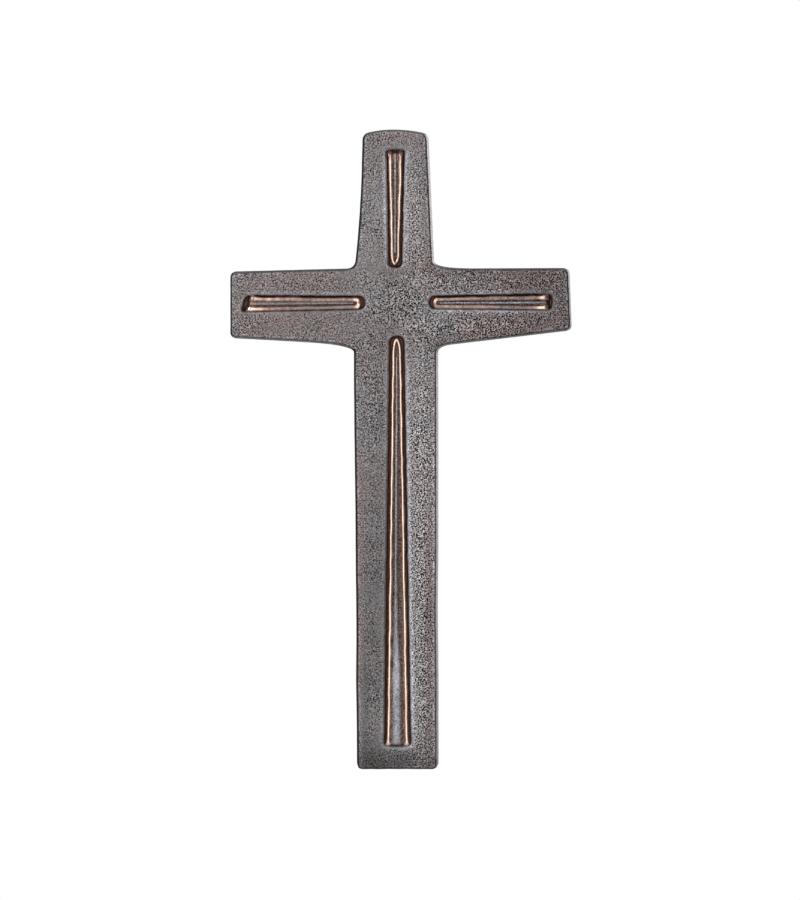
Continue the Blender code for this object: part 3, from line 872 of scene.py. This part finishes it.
def edge_rings(outline, edge_index, edge_level, sizes):
    """The rings of the edge and sides, and how much each point is of the side and of the painted highlight
    where the edge's rounding begins.

    A ring is the outline moved in by the section's inset and a little noise. The first ones follow the front
    edge's level down.
    """
    section = side_section(sizes)
    points, sides, worn = [], [], []
    for number, (inset, height) in enumerate(section):
        flat = outline.at(edge_index, inset)
        size = len(flat)
        solid = np.column_stack([flat[:, 0], np.full(size, -height), flat[:, 1]])
        rough = 0.00006 * (1 + smooth_noise(solid, 0.0028, 73)) * (0 < number < len(section) - 3)
        moved = outline.at(edge_index, inset + rough)
        sink = (sizes.thickness - edge_level) * (1 - min(1, number / 5))
        points.append(np.column_stack([moved[:, 0], -height + sink, moved[:, 1]]))
        sides.append(np.full(size, ease(number, 0.5, 3.5)))
        # The first rings of the rounding get a painted highlight, fading out by the third
        worn.append(np.full(size, max(0.0, 1 - number / 2.5)))
    return points, np.concatenate(sides), np.concatenate(worn)


def edge_shade(outline, edge_index):
    """How much painted shade darkens each point of the edge, by how far it faces to the left, and to the
    right or down.
    """
    outward = outline.at(edge_index, 0.0) - outline.at(edge_index, 0.001)
    outward /= np.linalg.norm(outward, axis=1, keepdims=True)
    left = DARK_LEFT * ease(-outward[:, 0], 0.2, 0.8)
    right = DARK_RIGHT * ease(np.maximum(outward[:, 0], -outward[:, 1]), 0.2, 0.8)
    return left, right


def build_casting(sizes):
    """All arrays of the cast piece: vertices, quads, triangles and the vertex values that its finish reads.

    The front's level is the thickness less the reliefs' drop, the roll towards the edge and the flaws, with
    slow lumps and a fine pitting. Rings close the sides, and the back is a flat polygon with two holes.
    """
    outline = Outline(sizes)
    plan, quads, edge_ids, edge_index = front_sheet(outline)
    drop, polish, hollow, worn, smooth = front_fields(plan, sizes)
    to_edge = edge_distance(outline, plan)
    drop = drop + sizes.roll_depth * np.clip(1 - to_edge / ROLL_WIDTH, 0, 1) ** 2
    for place, radius, depth in FLAWS:
        drop += depth * np.exp(-((plan - place) ** 2).sum(axis=1) / radius ** 2)
    lumps = smooth_noise(plan, 0.011, 70) + 0.6 * smooth_noise(plan, 0.0045, 71)
    plain = 1 - np.clip(polish + hollow, 0, 1)
    level = sizes.thickness - drop - sizes.lump_height * (1 + lumps) * (0.3 + 0.7 * plain)
    level -= sizes.pit_depth * np.clip(smooth_noise(plan, 0.0013, 72), 0, 1) * plain
    level = np.minimum(level, -CAD_LOW.y)
    front = np.column_stack([plan[:, 0], -level, plan[:, 1]])
    ring_points, ring_side, ring_highlight = edge_rings(outline, edge_index, level[edge_ids], sizes)
    ring_ids = len(front) + np.arange(ring_side.size).reshape(-1, len(edge_ids))
    closed = np.vstack([edge_ids, ring_ids])
    quads = np.vstack([quads, grid_quads(np.column_stack([closed, closed[:, :1]]))])
    vertices = np.vstack([front, *ring_points])

    # The back: a polygon with the holes' mouths cut out, and the holes
    hole_parts, mouths, mouth_ids, hole_quads, hole_floors = stud_holes(len(vertices))
    back_loop = ring_ids[-1]
    rims = [vertices[back_loop], *mouths]
    polygon = [[Vector((x, z, 0)) for x, z in rim[:, (0, 2)].tolist()] for rim in rims]
    triangles = np.concatenate([back_loop, *mouth_ids])[np.array(tessellate_polygon(polygon))]
    vertices = np.clip(np.vstack([vertices, *hole_parts]), tuple(CAD_LOW), tuple(CAD_HIGH))
    quads = np.vstack([quads, hole_quads])
    triangles = facing_back(vertices, np.vstack([triangles, hole_floors]))

    # The finish, over the front, the rings and the holes
    rest = len(vertices) - len(front)
    holes = rest - ring_side.size
    # The light values: the patina's tone, and painted shade and light in the listed spots
    light, brown, grain = tones_and_shade(vertices[:, (0, 2)])
    dark_left, dark_right = edge_shade(outline, edge_index)
    # Painted shade on the edge's rings: darker where the edge faces left, and on its first rings where it
    # faces right or down
    for number, ids in enumerate(ring_ids):
        light[ids] *= 1 - np.maximum(dark_left, dark_right * (number < DARK_RINGS))
    back = np.concatenate([back_loop, np.arange(len(vertices) - holes, len(vertices))])
    light[back] = 1.0
    brown[back] = BACK_BROWN
    # A painted highlight just inside the front edge, patchy by noise; with the painted highlight on the
    # rounding's first rings, the rims' painted highlights and the rubbed ridges it makes the values of wear
    # and highlight
    glint = 0.25 * (1 - ease(to_edge, 0.0002, 0.0010)) * (1 + 0.8 * smooth_noise(plan, 0.004, 74))
    values = {
        "polish": np.concatenate([polish, np.zeros(rest)]),
        "hollow": np.concatenate([hollow, np.zeros(rest)]),
        "worn": np.concatenate([np.maximum(worn, glint), 0.35 * ring_highlight, np.zeros(holes)]),
        "side": np.concatenate([np.zeros(len(front)), ring_side, np.ones(holes)]),
        "light": light,
        "brown": brown,
        "grain": grain * np.concatenate([1 - 0.85 * smooth, np.full(rest, 0.5)]),
    }
    return vertices, quads, triangles, values


def facing_back(vertices, triangles):
    """The triangles, turned where needed so that their normals point to +Y."""
    corners = vertices[triangles]
    wrong = np.cross(corners[:, 1] - corners[:, 0], corners[:, 2] - corners[:, 0])[:, 1] < 0
    turned = triangles.copy()
    turned[wrong] = triangles[wrong][:, ::-1]
    return turned


def stud_holes(first):
    """Both stud holes, chamfered bores with flat floors: points, mouths and their numbers, quads and floors.

    first is the number of the holes' first vertex.
    """
    angles = np.linspace(0, 2 * math.pi, STUD_SIDES, endpoint=False)
    rings = [
        (STUD_RADIUS + STUD_CHAMFER, 0), (STUD_RADIUS, STUD_CHAMFER), (STUD_RADIUS, STUD_DEPTH / 2),
        (STUD_RADIUS, STUD_DEPTH),
    ]
    parts, mouths, mouth_ids, quads, floors = [], [], [], [], []
    for height in STUD_HEIGHTS:
        points = []
        for radius, depth in rings:
            x, z = radius * np.cos(angles), height + radius * np.sin(angles)
            points.append(np.column_stack([x, np.full(STUD_SIDES, -depth), z]))
        parts.append(np.vstack(points))
        ids = first + np.arange(len(rings) * STUD_SIDES).reshape(len(rings), STUD_SIDES)
        first += ids.size
        mouths.append(points[0])
        mouth_ids.append(ids[0])
        quads.append(grid_quads(np.column_stack([ids, ids[:, :1]]))[:, ::-1])
        floor = ids[-1]
        floors.append(np.column_stack([np.full(STUD_SIDES - 2, floor[0]), floor[1:-1], floor[2:]]))
    return parts, mouths, mouth_ids, np.vstack(quads), np.vstack(floors)


def make_piece(name, vertices, quads, triangles, values, material):
    """A mesh object from whole arrays, smooth on its quads, with its vertex values as attributes."""
    mesh = bpy.data.meshes.new(name)
    mesh.vertices.add(len(vertices))
    mesh.vertices.foreach_set("co", vertices.astype(np.float32).ravel())
    corners = np.concatenate([quads.ravel(), triangles.ravel()])
    mesh.loops.add(len(corners))
    mesh.loops.foreach_set("vertex_index", corners.astype(np.int32))
    mesh.polygons.add(len(quads) + len(triangles))
    starts = np.concatenate([np.arange(len(quads)) * 4, quads.size + np.arange(len(triangles)) * 3])
    mesh.polygons.foreach_set("loop_start", starts.astype(np.int32))
    mesh.polygons.foreach_set("use_smooth", np.arange(len(starts)) < len(quads))
    for key, value in values.items():
        mesh.attributes.new(key, "FLOAT", "POINT").data.foreach_set("value", value.astype(np.float32))
    mesh.update(calc_edges=True)
    if mesh.validate():
        raise RuntimeError(f"the mesh of {name} isn't sound")
    mesh.materials.append(material)
    obj = bpy.data.objects.new(name, mesh)
    bpy.context.scene.collection.objects.link(obj)
    return obj


def add_node(tree, kind, settings=None, **links):
    """Adds a node, sets its properties and unlinked inputs, and links its other inputs.

    A setting whose key is a socket's name or number goes to that socket, and any other to the node itself.
    A link's name is the socket's, with _ for a space, or in_0, in_1 and so on by number.
    """
    node = tree.nodes.new(kind)
    for key, value in (settings or {}).items():
        if isinstance(key, int) or key in node.inputs:
            node.inputs[key].default_value = value
        else:
            setattr(node, key, value)
    for key, source in links.items():
        socket = node.inputs[int(key[3:])] if key.startswith("in_") else node.inputs[key.replace("_", " ")]
        tree.links.new(source, socket)
    return node


def remap(tree, source, low, high, to_low, to_high):
    """Adds a node that maps low to high onto to_low to to_high and holds beyond, and returns its output."""
    ends = {1: low, 2: high, 3: to_low, 4: to_high}
    return add_node(tree, "ShaderNodeMapRange", ends, in_0=source).outputs[0]


def colour_ramp(tree, source, stops):
    """Adds a colour ramp with stops (position, colour), the outer two first, and returns its output."""
    node = add_node(tree, "ShaderNodeValToRGB", in_0=source)
    elements = node.color_ramp.elements
    for element, (position, colour) in zip((elements[0], elements[1]), (stops[0], stops[-1])):
        element.position = position
        element.color = colour
    for position, colour in stops[1:-1]:
        elements.new(position).color = colour
    return node.outputs[0]


def cast_bronze(looks):
    """Sand-cast bronze with a dark brown-grey patina, and ribs ground bright.

    The patina gives a dull grey skin with a salt-and-pepper grain, the recesses keep a darker brown, and the
    ribs show bare copper-coloured metal with a soft gloss. A pale colour paints highlights along the
    recesses' rims and inside the front edge, and also lies on the rubbed ridges, and the light values darken
    the skin with painted shade at the edge and in spots as well as with the patina's tone.
    """
    material = bpy.data.materials.new("patinated sand-cast bronze")
    material.use_nodes = True
    tree = material.node_tree
    tree.nodes.clear()
    place = add_node(tree, "ShaderNodeTexCoord").outputs["Object"]
    polish, hollow, worn, side, light, brown, grain_share = (
        add_node(tree, "ShaderNodeAttribute", {"attribute_name": name}).outputs["Fac"]
        for name in ("polish", "hollow", "worn", "side", "light", "brown", "grain")
    )

    def blend(share, first, second, how="MIX"):
        """Mixes two colours, each a colour or another node's output."""
        settings = {"data_type": "RGBA", "blend_type": how, "clamp_factor": False}
        links = {}
        for number, value in ((0, share), (6, first), (7, second)):
            if isinstance(value, bpy.types.NodeSocket):
                links[f"in_{number}"] = value
            else:
                settings[number] = value
        return add_node(tree, "ShaderNodeMix", settings, **links).outputs[2]

    # Sand grains of the mould are about 0.3 mm, drawn twice as coarse so that they show at the photo's size
    noise = {"Scale": 1 / looks.grain_size, "Detail": 1.5, "Roughness": 0.6}
    grain = add_node(tree, "ShaderNodeTexNoise", noise, Vector=place).outputs["Fac"]
    speck = blend(grain_share, (1, 1, 1, 1), remap(tree, grain, 0.32, 0.68, -0.35, 2.5))
    skin = blend(brown, looks.grey_patina, looks.brown_patina)
    # Pale colour on the rubbed ridges, and painted highlights along the recesses' rims and at the front edge
    skin = blend(worn, skin, looks.worn_patina)
    skin = blend(side, skin, looks.side_patina)
    skin = blend(1.0, skin, speck, "MULTIPLY")
    # Multiplies in the light values: the patina's tone, with painted shade and light in the listed spots and
    # painted shade on the edge
    skin = blend(1.0, skin, light, "MULTIPLY")
    skin = blend(hollow, skin, looks.hollow_brown)
    metal = colour_ramp(tree, polish, ((0.25, looks.rib_copper), (0.85, looks.rib_metal)))
    skin = blend(remap(tree, polish, 0.0, 0.3, 0.0, 1.0), skin, metal)
    rough = remap(tree, polish, 0.0, 0.8, looks.patina_roughness, looks.polish_roughness)
    dull = remap(tree, polish, 0.0, 0.5, 1.0, 0.05)
    strength = add_node(tree, "ShaderNodeMath", {"operation": "MULTIPLY"}, in_0=dull, in_1=grain_share)
    bump = add_node(tree, "ShaderNodeBump", {"Distance": looks.grain_height},
                    Height=grain, Strength=strength.outputs[0])
    shader = add_node(tree, "ShaderNodeBsdfPrincipled", {"Metallic": 1.0},
                      Base_Color=skin, Roughness=rough, Normal=bump.outputs[0])
    add_node(tree, "ShaderNodeOutputMaterial", Surface=shader.outputs[0])
    return material


def plain_paint(name, colour, roughness, glow):
    """Matt studio paint: pale and even, without gloss, and with a faint glow as of a lit room."""
    material = bpy.data.materials.new(name)
    material.use_nodes = True
    shader = material.node_tree.nodes["Principled BSDF"]
    shader.inputs["Base Color"].default_value = colour
    shader.inputs["Roughness"].default_value = roughness
    shader.inputs["Emission Color"].default_value = colour
    shader.inputs["Emission Strength"].default_value = glow
    return material


def length_of(name, default, description):
    """A setting that is a length in metres."""
    return bpy.props.FloatProperty(name=name, description=description, default=default, unit="LENGTH")


def angle_of(name, degrees, description):
    """A setting that is an angle, given in degrees."""
    return bpy.props.FloatProperty(
        name=name, description=description, default=math.radians(degrees), subtype="ANGLE")


def share_of(name, default, description):
    """A setting that is a share from 0 to 1."""
    return bpy.props.FloatProperty(name=name, description=description, default=default, subtype="FACTOR")


def strength_of(name, default, description):
    """A setting that is the power or strength of a light."""
    return bpy.props.FloatProperty(name=name, description=description, default=default, min=0)


def colour_of(name, code, description):
    """A setting that is a colour, given as an sRGB hex code."""
    return bpy.props.FloatVectorProperty(
        name=name, description=description, default=linear(code), subtype="COLOR", size=4, min=0, max=1)


class CastingSettings(bpy.types.PropertyGroup):
    """Sizes and colours of the cast cross."""

    thickness: length_of("Thickness", 0.010, "From the flat back to the front")
    edge_radius: length_of("Edge radius", 0.0011, "Rounding of the front edge")
    edge_wander: length_of("Edge wander", 0.00006, "How far the cast edge wanders inwards")
    recess_depth: length_of("Recess depth", 0.0023, "From the front to the recess floor")
    dish_depth: length_of("Dish depth", 0.00030, "How far the front sinks towards a recess")
    roll_depth: length_of("Roll depth", 0.00030, "How far the front sinks towards its edge")
    bar_depth: length_of("Bar depth", 0.0012, "From the front to the bar between the ribs")
    rib_proud: length_of("Rib height", 0.00015, "How far the ribs stand proud of the front")
    rib_dip: length_of("Rib dip", 0.0006, "How far a rib's outer end dips")
    rib_wander: length_of("Rib wander", 0.00014, "How far the ribs wander sideways")
    lump_height: length_of("Lumps", 0.00005, "Slow unevenness of the cast front")
    pit_depth: length_of("Pits", 0.00004, "Depth of the pitting that the sand leaves")
    grain_size: length_of("Grain size", 0.0007, "Size of the sand grain in the skin")
    grain_height: length_of("Grain height", 0.0005, "Height of the sand grain")
    grey_patina: colour_of("Grey patina", "#827F80", "Colour of the patina's greyer parts")
    brown_patina: colour_of("Brown patina", "#887875", "Colour of the patina's browner parts")
    # Used on rubbed ridges and for the painted highlights on rims and edges
    worn_patina: colour_of("Worn patina", "#ACACB2", "Colour of the patina where rims and edges are rubbed")
    side_patina: colour_of("Side patina", "#9C9295", "Colour of the patina on the sides and the back")
    hollow_brown: colour_of("Hollow brown", "#553D31", "Colour of the dirt and oxide in the recesses")
    rib_copper: colour_of("Rib copper", "#A98A7E", "Colour of the half rubbed metal on the ribs")
    rib_metal: colour_of("Rib metal", "#F4D6C4", "Colour of the bare metal on the ribs")
    patina_roughness: share_of("Patina roughness", 0.48, "Roughness of the patina")
    polish_roughness: share_of("Polish roughness", 0.22, "Roughness of the ground ribs")


class StageSettings(bpy.types.PropertyGroup):
    """The view, the floor and the lights."""

    azimuth: angle_of("Azimuth", 2.5, "How far the camera stands to the right")
    elevation: angle_of("Elevation", 2.0, "How far the camera stands above")
    distance: length_of("Camera distance", 2.2, "From the camera to the cross")
    floor_drop: length_of("Floor drop", 0.22, "From the foot of the cross down to the floor")
    floor_colour: colour_of("Floor", "#F2F1EF", "Colour of the floor")
    room_light: strength_of("Room light", 0.26, "Brightness of the room round the cross")
    key_power: strength_of("Key light", 11.9, "Power of the softbox at the upper left, in watts")
    front_power: strength_of("Front light", 16.0, "Power of the softbox by the camera, in watts")
    ceiling_light: strength_of("Ceiling light", 0.25, "Strength of the soft light from above")
    back_power: strength_of("Back light", 9.0, "Power of the softbox behind at the right, in watts")


class BRONZECROSS_OT_casting(bpy.types.Operator):
    """Build the cast cross with its reliefs, patina and polished ribs"""

    bl_idname = "bronze_cross.casting"
    bl_label = "Casting"

    def execute(self, context):
        settings = context.scene.bronze_cross_casting
        piece = make_piece("bronze_cross", *build_casting(settings), cast_bronze(settings))
        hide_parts("cross")
        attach(piece, "root")
        return {"FINISHED"}


def area_light(name, place, aim, size, power):
    """A square white softbox at a place, facing a point, that the camera doesn't see."""
    light = bpy.data.lights.new(name, "AREA")
    light.shape = "SQUARE"
    light.size = size
    light.energy = power
    obj = bpy.data.objects.new(name, light)
    obj.location = place
    obj.rotation_euler = (Vector(aim) - Vector(place)).to_track_quat("-Z", "Y").to_euler()
    obj.visible_camera = False
    bpy.context.scene.collection.objects.link(obj)


class BRONZECROSS_OT_stage(bpy.types.Operator):
    """Set up the floor, the lights, the pale room and the camera"""

    bl_idname = "bronze_cross.stage"
    bl_label = "Stage"

    def execute(self, context):
        settings = context.scene.bronze_cross_stage
        centre = Vector((FRAME_CENTRE[0], CAD_LOW.y, FRAME_CENTRE[1]))
        floor = bpy.data.meshes.new("floor")
        level = CAD_LOW.z - settings.floor_drop
        half, deep = FLOOR_HALVES
        corners = [(-half, -deep, level), (half, -deep, level), (half, deep, level), (-half, deep, level)]
        floor.from_pydata(corners, [], [(0, 1, 2, 3)])
        floor.materials.append(plain_paint("matt studio paint", settings.floor_colour, 0.9, 0.25))
        slab = bpy.data.objects.new("floor", floor)
        context.scene.collection.objects.link(slab)
        for name, place, size, power in SOFTBOXES:
            area_light(name, place, centre, size, getattr(settings, power))
        self.light_room(context, settings)
        self.place_camera(context, settings, centre)
        context.scene.view_settings.view_transform = "Standard"
        return {"FINISHED"}

    def light_room(self, context, settings):
        """A white room for the camera. As a light it is dim, darkest at the sides and at the left behind.

        The ramp gives its brightness from before the cross to behind it.
        """
        world = bpy.data.worlds.new("studio room")
        world.use_nodes = True
        tree = world.node_tree
        tree.nodes.clear()
        way = add_node(tree, "ShaderNodeTexCoord").outputs["Generated"]
        x, y, z = add_node(tree, "ShaderNodeSeparateXYZ", in_0=way).outputs
        stops = ((0.0, 1), (0.3, 0.5), (0.5, 0.12), (0.7, 0.25), (0.85, 2.5), (1.0, 3))
        stops = [(position, (value, value, value, 1)) for position, value in stops]
        room = colour_ramp(tree, remap(tree, y, -1.0, 1.0, 0.0, 1.0), stops)
        left = remap(tree, x, -0.05, 0.25, 0.08, 1.0)
        front = remap(tree, y, -0.5, 0.0, 1.0, 0.0)
        share = add_node(tree, "ShaderNodeMath", {"operation": "MAXIMUM"}, in_0=left, in_1=front)
        dimmed = {"operation": "MULTIPLY", 1: settings.room_light}
        power = add_node(tree, "ShaderNodeMath", dimmed, in_0=share.outputs[0])
        light = add_node(tree, "ShaderNodeBackground", Color=room, Strength=power.outputs[0])
        above = remap(tree, z, 0.35, 0.9, 0.0, settings.ceiling_light)
        ceiling = add_node(tree, "ShaderNodeBackground", {"Color": (1, 1, 1, 1)}, Strength=above)
        lights = add_node(tree, "ShaderNodeAddShader", in_0=light.outputs[0], in_1=ceiling.outputs[0])
        seen = add_node(tree, "ShaderNodeBackground", {"Color": (1, 1, 1, 1), "Strength": 1.0})
        path = add_node(tree, "ShaderNodeLightPath").outputs["Is Camera Ray"]
        both = add_node(tree, "ShaderNodeMixShader", in_0=path, in_1=lights.outputs[0], in_2=seen.outputs[0])
        add_node(tree, "ShaderNodeOutputWorld", Surface=both.outputs[0])
        context.scene.world = world

    def place_camera(self, context, settings, centre):
        """A long lens that looks at the frame's centre, with the frame's height filling the picture."""
        camera = bpy.data.cameras.new("camera")
        camera.sensor_width = SENSOR
        camera.lens = SENSOR * settings.distance / FRAME_HEIGHT
        camera.clip_end = 20
        azimuth, elevation = settings.azimuth, settings.elevation
        level = math.cos(elevation)
        back = Vector((math.sin(azimuth) * level, -math.cos(azimuth) * level, math.sin(elevation)))
        obj = bpy.data.objects.new("camera", camera)
        obj.location = centre + back * settings.distance
        obj.rotation_euler = (-back).to_track_quat("-Z", "Y").to_euler()
        context.scene.collection.objects.link(obj)
        context.scene.camera = obj


class BRONZECROSS_PT_panel(bpy.types.Panel):
    """Lists what the cross is built from"""

    bl_idname = "BRONZECROSS_PT_panel"
    bl_label = "Bronze cross"
    bl_space_type = "VIEW_3D"
    bl_region_type = "UI"
    bl_category = "Bronze cross"

    def draw(self, context):
        for operator, settings in (
            (BRONZECROSS_OT_casting, context.scene.bronze_cross_casting),
            (BRONZECROSS_OT_stage, context.scene.bronze_cross_stage),
        ):
            box = self.layout.box()
            box.operator(operator.bl_idname)
            for name in settings.__annotations__:
                box.prop(settings, name)


CLASSES = (
    CastingSettings, StageSettings, BRONZECROSS_OT_casting, BRONZECROSS_OT_stage, BRONZECROSS_PT_panel,
)


def register():
    for cls in CLASSES:
        bpy.utils.register_class(cls)
    bpy.types.Scene.bronze_cross_casting = bpy.props.PointerProperty(type=CastingSettings)
    bpy.types.Scene.bronze_cross_stage = bpy.props.PointerProperty(type=StageSettings)


def unregister():
    del bpy.types.Scene.bronze_cross_stage
    del bpy.types.Scene.bronze_cross_casting
    for cls in reversed(CLASSES):
        bpy.utils.unregister_class(cls)


def main():
    register()
    bpy.ops.bronze_cross.casting()
    bpy.ops.bronze_cross.stage()


if __name__ == "__main__":
    main()
